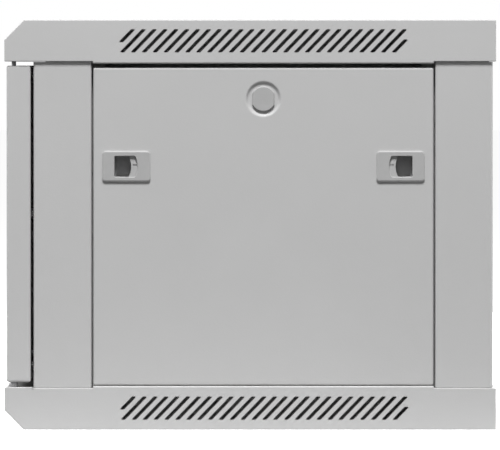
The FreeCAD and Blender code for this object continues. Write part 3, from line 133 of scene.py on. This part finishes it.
floor_paint = bpy.data.materials.new("floor_paint")
tree = node_tree(floor_paint)
light_path = add(tree, "ShaderNodeLightPath")
seen = add(tree, "ShaderNodeBsdfDiffuse", Color=(FLOOR_SEEN, FLOOR_SEEN, FLOOR_SEEN, 1))
unseen = add(tree, "ShaderNodeBsdfDiffuse")
place = add(tree, "ShaderNodeTexCoord")
unsigned = add(tree, "ShaderNodeVectorMath", operation="ABSOLUTE")
outside = add(tree, "ShaderNodeVectorMath", operation="SUBTRACT")
outside.inputs[1].default_value = (cad_high.x, cad_high.y, 0)
positive = add(tree, "ShaderNodeVectorMath", operation="MAXIMUM")
distance = add(tree, "ShaderNodeVectorMath", operation="LENGTH")
fade = add(tree, "ShaderNodeMapRange", interpolation_type="SMOOTHSTEP", From_Min=0.0, From_Max=FLOOR_FADE,
           To_Min=FLOOR_NEAR, To_Max=FLOOR_FAR)
tree.links.new(place.outputs["Object"], unsigned.inputs[0])
tree.links.new(unsigned.outputs[0], outside.inputs[0])
tree.links.new(outside.outputs[0], positive.inputs[0])
tree.links.new(positive.outputs[0], distance.inputs[0])
tree.links.new(distance.outputs["Value"], fade.inputs["Value"])
tree.links.new(fade.outputs[0], unseen.inputs["Color"])
lift = add(tree, "ShaderNodeEmission", Color=(1, 1, 1, 1), Strength=FLOOR_LIFT)
lifted = add(tree, "ShaderNodeAddShader")
chosen = add(tree, "ShaderNodeMixShader")
tree.links.new(seen.outputs[0], lifted.inputs[0])
tree.links.new(lift.outputs[0], lifted.inputs[1])
tree.links.new(light_path.outputs["Is Camera Ray"], chosen.inputs[0])
tree.links.new(unseen.outputs[0], chosen.inputs[1])
tree.links.new(lifted.outputs[0], chosen.inputs[2])
tree.links.new(chosen.outputs[0], add(tree, "ShaderNodeOutputMaterial").inputs["Surface"])
floor_mesh.materials.append(floor_paint)

world = bpy.data.worlds.new("room")
world.use_nodes = True
bpy.context.scene.world = world
tree = world.node_tree
tree.nodes.clear()
light_path = add(tree, "ShaderNodeLightPath")
white = add(tree, "ShaderNodeBackground", Color=(1, 1, 1, 1), Strength=1.0)
glow = add(tree, "ShaderNodeBackground", Color=(1, 1, 1, 1), Strength=ROOM_LIGHT)
camera_or_gloss = add(tree, "ShaderNodeMath", operation="MAXIMUM")
straight = add(tree, "ShaderNodeMath", operation="MAXIMUM")
chosen = add(tree, "ShaderNodeMixShader")
tree.links.new(light_path.outputs["Is Camera Ray"], camera_or_gloss.inputs[0])
tree.links.new(light_path.outputs["Is Glossy Ray"], camera_or_gloss.inputs[1])
tree.links.new(camera_or_gloss.outputs[0], straight.inputs[0])
tree.links.new(light_path.outputs["Is Transmission Ray"], straight.inputs[1])
tree.links.new(straight.outputs[0], chosen.inputs[0])
tree.links.new(glow.outputs[0], chosen.inputs[1])
tree.links.new(white.outputs[0], chosen.inputs[2])
tree.links.new(chosen.outputs[0], add(tree, "ShaderNodeOutputWorld").inputs["Surface"])


def softbox(name, place, size, power):
    """A square lamp at `place` that faces the middle of the cabinet."""
    target = Vector((0, 0, LAMP_TARGET))
    data = bpy.data.lights.new(name, "AREA")
    data.size = size
    data.energy = power
    lamp = bpy.data.objects.new(name, data)
    bpy.context.scene.collection.objects.link(lamp)
    lamp.location = place
    lamp.rotation_euler = (target - Vector(place)).to_track_quat("-Z", "Y").to_euler()


key_place = (cad_high.x + KEY_AWAY * math.cos(KEY_UP), 0, LAMP_TARGET + KEY_AWAY * math.sin(KEY_UP))
softbox("key_lamp", key_place, KEY_SIZE, KEY_POWER)
softbox("front_lamp", (0, -SIDE_AWAY, FRONT_HIGH), SIDE_SIZE, FRONT_POWER)
softbox("rear_lamp", (0, SIDE_AWAY, LOW_HIGH), SIDE_SIZE, REAR_POWER)
softbox("left_lamp", (-SIDE_AWAY, 0, LOW_HIGH), SIDE_SIZE, LEFT_POWER)

bpy.context.scene.view_settings.view_transform = "Standard"


# Base tray
# One sheet of 1.2 mm steel folded into a shallow tray with a bevelled front, slotted along both sides, and
# powder coated light grey after it was folded. The same coat is on every painted sheet of the cabinet.
COAT_GREY = (0.440, 0.440, 0.440, 1)
COAT_GREY_THIN = (0.470, 0.470, 0.470, 1)
PEEL_PER_METRE = 620
PEEL_HEIGHT = 0.000045
SWELL_RATE = 0.22                # the swell's rate as a share of the fine grain's


def group(name, inputs, outputs):
    """A node group with (name, type, value) inputs and (name, type) outputs, and its two end nodes."""
    tree = bpy.data.node_groups.new(name, "ShaderNodeTree")
    for label, kind, value in inputs:
        socket = tree.interface.new_socket(name=label, in_out="INPUT", socket_type=kind)
        socket.default_value = value
    for label, kind in outputs:
        tree.interface.new_socket(name=label, in_out="OUTPUT", socket_type=kind)
    return tree, tree.nodes.new("NodeGroupInput"), tree.nodes.new("NodeGroupOutput")


FLOAT, COLOUR = "NodeSocketFloat", "NodeSocketColor"

# orange peel: a fine rounded noise under a longer, shallower swell of the cured powder
peel, peel_in, peel_out = group(
    "orange_peel",
    [("Grain", FLOAT, PEEL_PER_METRE), ("Swell", FLOAT, 0.5)],
    [("Height", FLOAT)])
place = add(peel, "ShaderNodeTexCoord")
fine = add(peel, "ShaderNodeTexNoise", Detail=1.5, Roughness=0.5)
longer = add(peel, "ShaderNodeTexNoise", Detail=1.0, Roughness=0.4)
slower = add(peel, "ShaderNodeMath", operation="MULTIPLY")
slower.inputs[1].default_value = SWELL_RATE
swell = add(peel, "ShaderNodeMath", operation="MULTIPLY")
total = add(peel, "ShaderNodeMath", operation="ADD")
for noise in (fine, longer):
    peel.links.new(place.outputs["Object"], noise.inputs["Vector"])
peel.links.new(peel_in.outputs["Grain"], fine.inputs["Scale"])
peel.links.new(peel_in.outputs["Grain"], slower.inputs[0])
peel.links.new(slower.outputs[0], longer.inputs["Scale"])
peel.links.new(longer.outputs[0], swell.inputs[0])
peel.links.new(peel_in.outputs["Swell"], swell.inputs[1])
peel.links.new(fine.outputs[0], total.inputs[0])
peel.links.new(swell.outputs[0], total.inputs[1])
peel.links.new(total.outputs[0], peel_out.inputs["Height"])

# coat tone: broad, faint clouds of thicker and thinner powder, with fine speckle in them
tone, tone_in, tone_out = group(
    "coat_tone",
    [("Thick", COLOUR, COAT_GREY), ("Thin", COLOUR, COAT_GREY_THIN), ("Clouds", FLOAT, 5.0),
     ("Speckle", FLOAT, 2400.0)],
    [("Color", COLOUR)])
place = add(tone, "ShaderNodeTexCoord")
cloud = add(tone, "ShaderNodeTexNoise", Detail=3.0, Roughness=0.55)
speckle = add(tone, "ShaderNodeTexNoise", Detail=0.0)
cloud_soft = add(tone, "ShaderNodeMapRange", interpolation_type="SMOOTHSTEP", From_Min=0.32, From_Max=0.68,
                 To_Min=0.0, To_Max=0.6)
speckle_soft = add(tone, "ShaderNodeMapRange", From_Min=0.2, From_Max=0.8, To_Min=0.0, To_Max=0.4)
both = add(tone, "ShaderNodeMath", operation="ADD")
blend = add(tone, "ShaderNodeMix", data_type="RGBA")
for noise, rate in ((cloud, "Clouds"), (speckle, "Speckle")):
    tone.links.new(place.outputs["Object"], noise.inputs["Vector"])
    tone.links.new(tone_in.outputs[rate], noise.inputs["Scale"])
tone.links.new(cloud.outputs[0], cloud_soft.inputs["Value"])
tone.links.new(speckle.outputs[0], speckle_soft.inputs["Value"])
tone.links.new(cloud_soft.outputs[0], both.inputs[0])
tone.links.new(speckle_soft.outputs[0], both.inputs[1])
tone.links.new(both.outputs[0], blend.inputs["Factor"])
tone.links.new(tone_in.outputs["Thick"], blend.inputs["A"])
tone.links.new(tone_in.outputs["Thin"], blend.inputs["B"])
tone.links.new(blend.outputs["Result"], tone_out.inputs["Color"])

# settled dust: a thin warm film, only on what faces up, in drifts a few centimetres across
DUST = (0.36, 0.345, 0.32, 1)
dust, dust_in, dust_out = group(
    "settled_dust",
    [("Clean", COLOUR, COAT_GREY), ("Dust", COLOUR, DUST), ("Drifts", FLOAT, 28.0),
     ("Amount", FLOAT, 0.35)],
    [("Color", COLOUR)])
place = add(dust, "ShaderNodeTexCoord")
facing = add(dust, "ShaderNodeSeparateXYZ")
upward = add(dust, "ShaderNodeMapRange", interpolation_type="SMOOTHSTEP", From_Min=0.75, From_Max=1.0)
drift = add(dust, "ShaderNodeTexNoise", Detail=5.0, Roughness=0.6)
drift_soft = add(dust, "ShaderNodeMapRange", interpolation_type="SMOOTHSTEP", From_Min=0.35, From_Max=0.7,
                 To_Min=0.25, To_Max=1.0)
film = add(dust, "ShaderNodeMath", operation="MULTIPLY")
amount = add(dust, "ShaderNodeMath", operation="MULTIPLY")
blend = add(dust, "ShaderNodeMix", data_type="RGBA")
dust.links.new(place.outputs["Normal"], facing.inputs[0])
dust.links.new(facing.outputs["Z"], upward.inputs["Value"])
dust.links.new(place.outputs["Object"], drift.inputs["Vector"])
dust.links.new(dust_in.outputs["Drifts"], drift.inputs["Scale"])
dust.links.new(drift.outputs[0], drift_soft.inputs["Value"])
dust.links.new(upward.outputs[0], film.inputs[0])
dust.links.new(drift_soft.outputs[0], film.inputs[1])
dust.links.new(film.outputs[0], amount.inputs[0])
dust.links.new(dust_in.outputs["Amount"], amount.inputs[1])
dust.links.new(amount.outputs[0], blend.inputs["Factor"])
dust.links.new(dust_in.outputs["Clean"], blend.inputs["A"])
dust.links.new(dust_in.outputs["Dust"], blend.inputs["B"])
dust.links.new(blend.outputs["Result"], dust_out.inputs["Color"])


def put_group(tree, source, **values):
    node = tree.nodes.new("ShaderNodeGroup")
    node.node_tree = source
    for name, value in values.items():
        node.inputs[name.replace("_", " ")].default_value = value
    return node


def finish_of(name, shader_values, height=None, height_scale=0.0, colour=None, rough=None):
    """A material of one Principled shader with optional links for its colour, roughness and bump.

    height, colour and rough are called with the tree and return the socket to link.
    """
    material = bpy.data.materials.new(name)
    tree = node_tree(material)
    shader = add(tree, "ShaderNodeBsdfPrincipled", **shader_values)
    if colour:
        tree.links.new(colour(tree), shader.inputs["Base Color"])
    if rough:
        tree.links.new(rough(tree), shader.inputs["Roughness"])
    if height:
        bump = add(tree, "ShaderNodeBump", Strength=1.0, Distance=height_scale)
        tree.links.new(height(tree), bump.inputs["Height"])
        tree.links.new(bump.outputs["Normal"], shader.inputs["Normal"])
    tree.links.new(shader.outputs[0], add(tree, "ShaderNodeOutputMaterial").inputs["Surface"])
    return material


def rough_from_noise(per_metre, low, high):
    """Roughness that wanders between low and high, with about this many patches in a metre."""
    def make(tree):
        place = add(tree, "ShaderNodeTexCoord")
        noise = add(tree, "ShaderNodeTexNoise", Scale=per_metre, Detail=3.0)
        span = add(tree, "ShaderNodeMapRange", From_Min=0.3, From_Max=0.7, To_Min=low, To_Max=high)
        tree.links.new(place.outputs["Object"], noise.inputs["Vector"])
        tree.links.new(noise.outputs[0], span.inputs["Value"])
        return span.outputs[0]
    return make


def dusty(source, amount=0.35, **values):
    """The colour of a group that gives "Color", under settled dust."""
    def make(tree):
        clean = put_group(tree, source, **values)
        film = put_group(tree, dust, Amount=amount)
        tree.links.new(clean.outputs["Color"], film.inputs["Clean"])
        return film.outputs["Color"]
    return make


powder_coat = finish_of("powder_coat", {}, height=lambda t: put_group(t, peel).outputs["Height"],
                        height_scale=PEEL_HEIGHT, colour=dusty(tone),
                        rough=rough_from_noise(per_metre=14, low=0.55, high=0.65))


def dress(material, *names):
    """Gives CAD nodes a material."""
    for name in names:
        mesh = nodes[name].data
        mesh.materials.clear()
        mesh.materials.append(material)


dress(powder_coat, "base")


# Roof tray
# The base's twin turned over, with two fan guards cut through its top. Each tray has two channel sections
# inside, spot-welded to it before both were coated.
dress(powder_coat, "roof", "tray_stiffeners")


# Cable entries
# A plain plate screwed over each of the three openings, taken off where cables come in.
dress(powder_coat, "base_cable_cover", "roof_cable_cover", "back_cable_cover")


# Columns and side supports
# Folded sheet, bolted between the base and the roof. The supports are spot-welded angles that carry the
# rails.
for side in ("right", "left"):
    dress(powder_coat, f"front_column_{side}", f"rear_column_{side}", f"upper_support_{side}",
          f"lower_support_{side}")


# Equipment rails
# Two millimetre steel, zinc plated, so they keep a cool metal sheen with faint rolling marks.
ZINC, ZINC_DULL = (0.63, 0.64, 0.65, 1), (0.50, 0.51, 0.53, 1)

# spangle: cells of brighter and duller zinc under faint grime, 6 mm across unless a finish asks for less
spangle, spangle_in, spangle_out = group(
    "zinc_spangle",
    [("Bright", COLOUR, ZINC), ("Dull", COLOUR, ZINC_DULL), ("Crystals", FLOAT, 160.0)],
    [("Color", COLOUR)])
place = add(spangle, "ShaderNodeTexCoord")
crystal = add(spangle, "ShaderNodeTexVoronoi")
grime = add(spangle, "ShaderNodeTexNoise", Scale=30.0, Detail=4.0)
grey = add(spangle, "ShaderNodeRGBToBW")
mask = add(spangle, "ShaderNodeMath", operation="MULTIPLY")
blend = add(spangle, "ShaderNodeMix", data_type="RGBA")
for texture in (crystal, grime):
    spangle.links.new(place.outputs["Object"], texture.inputs["Vector"])
spangle.links.new(spangle_in.outputs["Crystals"], crystal.inputs["Scale"])
spangle.links.new(crystal.outputs["Color"], grey.inputs[0])
spangle.links.new(grey.outputs[0], mask.inputs[0])
spangle.links.new(grime.outputs[0], mask.inputs[1])
spangle.links.new(mask.outputs[0], blend.inputs["Factor"])
spangle.links.new(spangle_in.outputs["Bright"], blend.inputs["A"])
spangle.links.new(spangle_in.outputs["Dull"], blend.inputs["B"])
spangle.links.new(blend.outputs["Result"], spangle_out.inputs["Color"])


def fine_relief(per_metre, stretch):
    """Height from noise, drawn out into lines along each axis whose `stretch` (x, y, z) is below 1."""
    def make(tree):
        place = add(tree, "ShaderNodeTexCoord")
        squeeze = add(tree, "ShaderNodeMapping", Scale=stretch)
        noise = add(tree, "ShaderNodeTexNoise", Scale=per_metre, Detail=2.0)
        tree.links.new(place.outputs["Object"], squeeze.inputs["Vector"])
        tree.links.new(squeeze.outputs[0], noise.inputs["Vector"])
        return noise.outputs[0]
    return make


zinc = finish_of("zinc_plate", {"Metallic": 1.0}, height=fine_relief(per_metre=700, stretch=(1, 1, 0.08)),
                 height_scale=0.00002, colour=dusty(spangle),
                 rough=rough_from_noise(per_metre=90, low=0.32, high=0.46))
for side in ("right", "left"):
    dress(zinc, f"rack_rail_front_{side}", f"rack_rail_rear_{side}")


# Back panel
# One sheet screwed to the rear columns, stiffened with four pressed beads.
dress(powder_coat, "back_panel")


# Side panels
# Pans of 1 mm sheet with a pressed ring round the blanked lock hole, on two pegs along their lower edge.
for side in ("right", "left"):
    dress(powder_coat, f"side_panel_{side}")
    dress(zinc, f"panel_pegs_{side}")


# Lock blanks and slide latches
# Moulded in grey plastic with a satin skin. The bolt with its finger pocket has nearly the same grey, and
# looks dark because it lies in the shade of the housing.
PLASTIC_GREY, PLASTIC_GREY_LIGHT = (0.355, 0.355, 0.355, 1), (0.385, 0.385, 0.385, 1)
PLASTIC_DARK, PLASTIC_DARK_LIGHT = (0.34, 0.34, 0.343, 1), (0.38, 0.38, 0.384, 1)


def moulded(name, colour, light, low, high):
    """Plastic with the fine grain of its mould, whose roughness wanders between low and high."""
    return finish_of(name, {},
                     height=lambda t: put_group(t, peel, Grain=1900.0, Swell=0.3).outputs["Height"],
                     height_scale=0.00002, colour=dusty(tone, Thick=colour, Thin=light, Clouds=60.0),
                     rough=rough_from_noise(per_metre=200, low=low, high=high))


grey_plastic = moulded("grey_plastic", PLASTIC_GREY, PLASTIC_GREY_LIGHT, low=0.38, high=0.46)
dark_plastic = moulded("dark_plastic", PLASTIC_DARK, PLASTIC_DARK_LIGHT, low=0.45, high=0.53)
for side in ("right", "left"):
    dress(grey_plastic, f"lock_blank_{side}")
    for end in ("front", "rear"):
        dress(grey_plastic, f"latch_housing_{side}_{end}", f"latch_lip_{side}_{end}")
        dress(dark_plastic, f"latch_bolt_{side}_{end}")


# Door
# A folded pan with a window. The glass is 4 mm, tempered and smoked, on a rubber gasket, and spring clips
# hold it.
SMOKE, SMOKE_PALE = (0.59, 0.59, 0.60, 1), (0.62, 0.62, 0.63, 1)
RUBBER, RUBBER_WORN = (0.016, 0.016, 0.016, 1), (0.026, 0.026, 0.026, 1)
SPRING, SPRING_DULL = (0.36, 0.36, 0.37, 1), (0.22, 0.22, 0.23, 1)


def plain(source, **values):
    """The colour of a group that gives "Color", with no dust on it."""
    return lambda tree: put_group(tree, source, **values).outputs["Color"]


smoked_glass = finish_of("smoked_glass", {"IOR": 1.5, "Transmission_Weight": 1.0},
                         height=fine_relief(per_metre=9, stretch=(1, 1, 1)), height_scale=0.00004,
                         colour=plain(tone, Thick=SMOKE, Thin=SMOKE_PALE, Clouds=9.0),
                         rough=rough_from_noise(per_metre=14, low=0.02, high=0.05))
rubber = finish_of("gasket_rubber", {"Specular_IOR_Level": 0.3},
                   height=fine_relief(per_metre=2500, stretch=(1, 1, 1)), height_scale=0.00003,
                   colour=plain(tone, Thick=RUBBER, Thin=RUBBER_WORN, Clouds=40.0),
                   rough=rough_from_noise(per_metre=120, low=0.6, high=0.75))
spring_steel = finish_of("spring_steel", {"Metallic": 1.0},
                         height=fine_relief(per_metre=1500, stretch=(1, 0.2, 1)), height_scale=0.00001,
                         colour=plain(spangle, Bright=SPRING, Dull=SPRING_DULL, Crystals=900.0),
                         rough=rough_from_noise(per_metre=300, low=0.28, high=0.4))
dress(powder_coat, "door_frame", "hinge_brackets")
dress(smoked_glass, "door_glass")
dress(rubber, "glass_gasket")
dress(spring_steel, "glass_clips", "hinge_pin_spring")


# Spring of the upper hinge pin
# Hard-drawn wire wound in seven open turns, between the lug inside the door and the pin's collar. It stands
# for the CAD spring, which is hidden. The real spring shortens by 6 mm as the pin is drawn down; this coil
# keeps one length.
TURNS, WIRE_R, COIL_R = 7, 0.00035, 0.0035
PER_TURN, ROUND_WIRE = 30, 10

coil_low, coil_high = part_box("hinge_pin_spring")
ring_count = PER_TURN * TURNS + 1
turned = np.linspace(0, 2 * math.pi * TURNS, ring_count)[:, None]
round_wire = np.linspace(0, 2 * math.pi, ROUND_WIRE, endpoint=False)[None, :]
wire_out = COIL_R + WIRE_R * np.cos(round_wire)
rise_per_radian = (coil_high.z - coil_low.z - 2 * WIRE_R) / turned[-1, 0]
coil_points = np.stack([(coil_low.x + coil_high.x) / 2 + wire_out * np.cos(turned),
                        (coil_low.y + coil_high.y) / 2 + wire_out * np.sin(turned),
                        coil_low.z + WIRE_R + rise_per_radian * turned + WIRE_R * np.sin(round_wire)],
                       axis=-1)
here = np.arange(ring_count * ROUND_WIRE).reshape(ring_count, ROUND_WIRE)
beside = np.roll(here, -1, axis=1)
coil_faces = np.stack([here[:-1], here[1:], beside[1:], beside[:-1]], axis=-1).reshape(-1, 4).tolist()
coil_faces += [here[0].tolist(), here[-1][::-1].tolist()]
coil_mesh = bpy.data.meshes.new("pin_spring_coil")
coil_mesh.from_pydata(coil_points.reshape(-1, 3).tolist(), [], coil_faces)
coil_mesh.polygons.foreach_set("use_smooth", [True] * len(coil_faces))
coil_mesh.materials.append(spring_steel)
coil = bpy.data.objects.new("pin_spring_coil", coil_mesh)
bpy.context.scene.collection.objects.link(coil)
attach(coil, "door")
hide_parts("hinge_pin_spring")
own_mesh(coil)


# Hinge pins, bushes and fasteners
# Turned or headed steel, zinc plated. The hinge pins and bushes are rougher, and their zinc is painted
# darker than the bolts' as painted shade, for the shade they sit in.
BOLT_ZINC, BOLT_ZINC_DULL = (0.62, 0.63, 0.64, 1), (0.40, 0.41, 0.43, 1)
# painted shade: the pins' and bushes' zinc is darker than the bolts', standing for the shade they sit in
PIN_PAINTED_SHADE_ZINC, PIN_PAINTED_SHADE_ZINC_DULL = (0.30, 0.30, 0.31, 1), (0.16, 0.16, 0.17, 1)
BUSH_PAINTED_SHADE_ZINC, BUSH_PAINTED_SHADE_ZINC_DULL = (0.42, 0.42, 0.43, 1), (0.30, 0.30, 0.31, 1)

bright_zinc = finish_of("bright_zinc", {"Metallic": 1.0},
                        height=fine_relief(per_metre=2200, stretch=(1, 1, 0.15)), height_scale=0.00001,
                        colour=plain(spangle, Bright=BOLT_ZINC, Dull=BOLT_ZINC_DULL, Crystals=1400.0),
                        rough=rough_from_noise(per_metre=500, low=0.26, high=0.42))


def painted_shade_zinc(name, bright, dull):
    """Rough zinc, painted darker as painted shade, with the turning marks round the pin."""
    return finish_of(name, {"Metallic": 0.85},
                     height=fine_relief(per_metre=1200, stretch=(0.15, 0.15, 1)), height_scale=0.00003,
                     colour=plain(spangle, Bright=bright, Dull=dull, Crystals=1100.0),
                     rough=rough_from_noise(per_metre=500, low=0.45, high=0.60))


# the pins and bushes get the zinc that is painted darker, as painted shade
dress(painted_shade_zinc("pin_painted_shade", PIN_PAINTED_SHADE_ZINC, PIN_PAINTED_SHADE_ZINC_DULL), "upper_hinge_pin", "lower_hinge_pin")
dress(painted_shade_zinc("bush_painted_shade", BUSH_PAINTED_SHADE_ZINC, BUSH_PAINTED_SHADE_ZINC_DULL), "upper_hinge_bush", "lower_hinge_bush")
dress(bright_zinc, "earth_stud", "earth_nut", "door_earth_stud", "pan_screws", "column_bolts",
      "column_nuts", "rail_bolts", "rail_nuts")


# Door lock
# A die-cast cam lock, bright plated, with a zinc plated cam.
PLATE, PLATE_WORN = (0.70, 0.70, 0.71, 1), (0.62, 0.62, 0.64, 1)
plated = finish_of("bright_plate", {"Metallic": 1.0},
                   height=fine_relief(per_metre=1800, stretch=(1, 1, 1)), height_scale=0.000006,
                   colour=plain(tone, Thick=PLATE, Thin=PLATE_WORN, Clouds=90.0),
                   rough=rough_from_noise(per_metre=400, low=0.12, high=0.24))
dress(plated, "lock_housing", "lock_barrel")
dress(bright_zinc, "lock_cam", "lock_cam_screw", "lock_nut")
